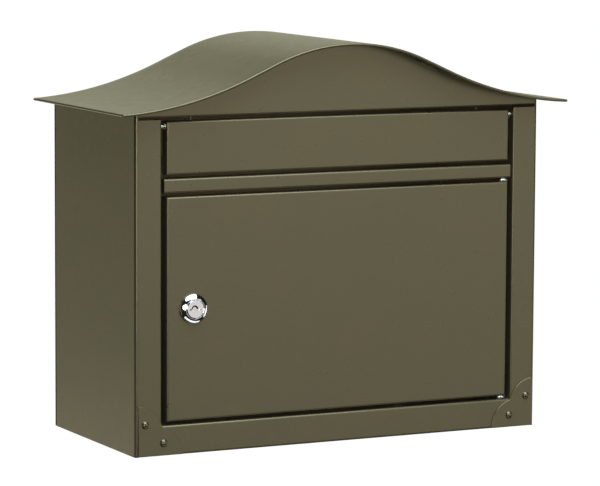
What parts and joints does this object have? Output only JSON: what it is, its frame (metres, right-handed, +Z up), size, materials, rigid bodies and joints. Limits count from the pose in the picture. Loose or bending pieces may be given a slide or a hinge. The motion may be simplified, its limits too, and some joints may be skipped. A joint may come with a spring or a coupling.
{
  "type": "wall mounted mailbox",
  "caption": "Wall mounted sheet steel mailbox with an ogee roof, an inward swinging mail flap above a hinged door with a cam lock.",
  "frame": {"origin": "in the wall plane, at the centre of the four wall bolts", "axes": "+Z up, +Y towards the wall, +X to the right as seen from the front"},
  "size_m": [0.434, 0.199, 0.352],
  "materials": {
    "powder_coat": "satin olive bronze powder coat",
    "plated_steel": "bright zinc plate",
    "spring_steel": "drawn wire, satin",
    "chrome": "polished chrome plate",
    "brass": "stamped brass"
  },
  "bodies": {
    "housing": {"left_side_panel": "powder_coat", "right_side_panel": "powder_coat", "floor_panel": "powder_coat", "back_panel": "powder_coat", "gable_panel": "powder_coat", "roof_sheet": "powder_coat", "mid_rail": "powder_coat", "left_corner_plate": "powder_coat", "right_corner_plate": "powder_coat", "corner_rivets": "powder_coat", "flap_hinge_rod": "plated_steel", "flap_rod_clips": "spring_steel", "flap_spring_left": "spring_steel", "flap_spring_right": "spring_steel", "door_pin_top": "plated_steel", "door_pin_bottom": "plated_steel"},
    "flap": {"flap_panel": "powder_coat", "flap_bushings": "plated_steel"},
    "door": {"door_panel": "powder_coat", "door_bushings": "plated_steel", "lock_body": "chrome", "lock_washer": "spring_steel", "lock_nut": "plated_steel"},
    "lock": {"lock_plug": "chrome", "lock_wafers": "brass", "lock_cam": "plated_steel", "cam_washer": "plated_steel", "cam_screw": "plated_steel"},
    "shutter": {"lock_shutter": "chrome"}
  },
  "joints": [
    {"name": "flap_swing", "type": "hinge", "parent": "housing", "child": "flap", "pos_m": [0, -0.174, 0.1337], "axis": [1, 0, 0], "range_deg": [0, 80], "stiffness_Nm_per_rad": 0.04, "springref_deg": -34.38, "deforming": ["flap_spring_left", "flap_spring_right"]},
    {"name": "door_swing", "type": "hinge", "parent": "housing", "child": "door", "pos_m": [0.1643, -0.1734, -0.0238], "axis": [0, 0, 1], "range_deg": [0, 110]},
    {"name": "lock_turn", "type": "hinge", "parent": "door", "child": "lock", "pos_m": [-0.1425, -0.179, -0.0238], "axis": [0, 1, 0], "range_deg": [0, 90]},
    {"name": "shutter_swing", "type": "hinge", "parent": "lock", "child": "shutter", "pos_m": [-0.1425, -0.1831, -0.0216], "axis": [1, 0, 0], "range_deg": [0, 70], "stiffness_Nm_per_rad": 0.0002, "springref_deg": -28.65}
  ]
}
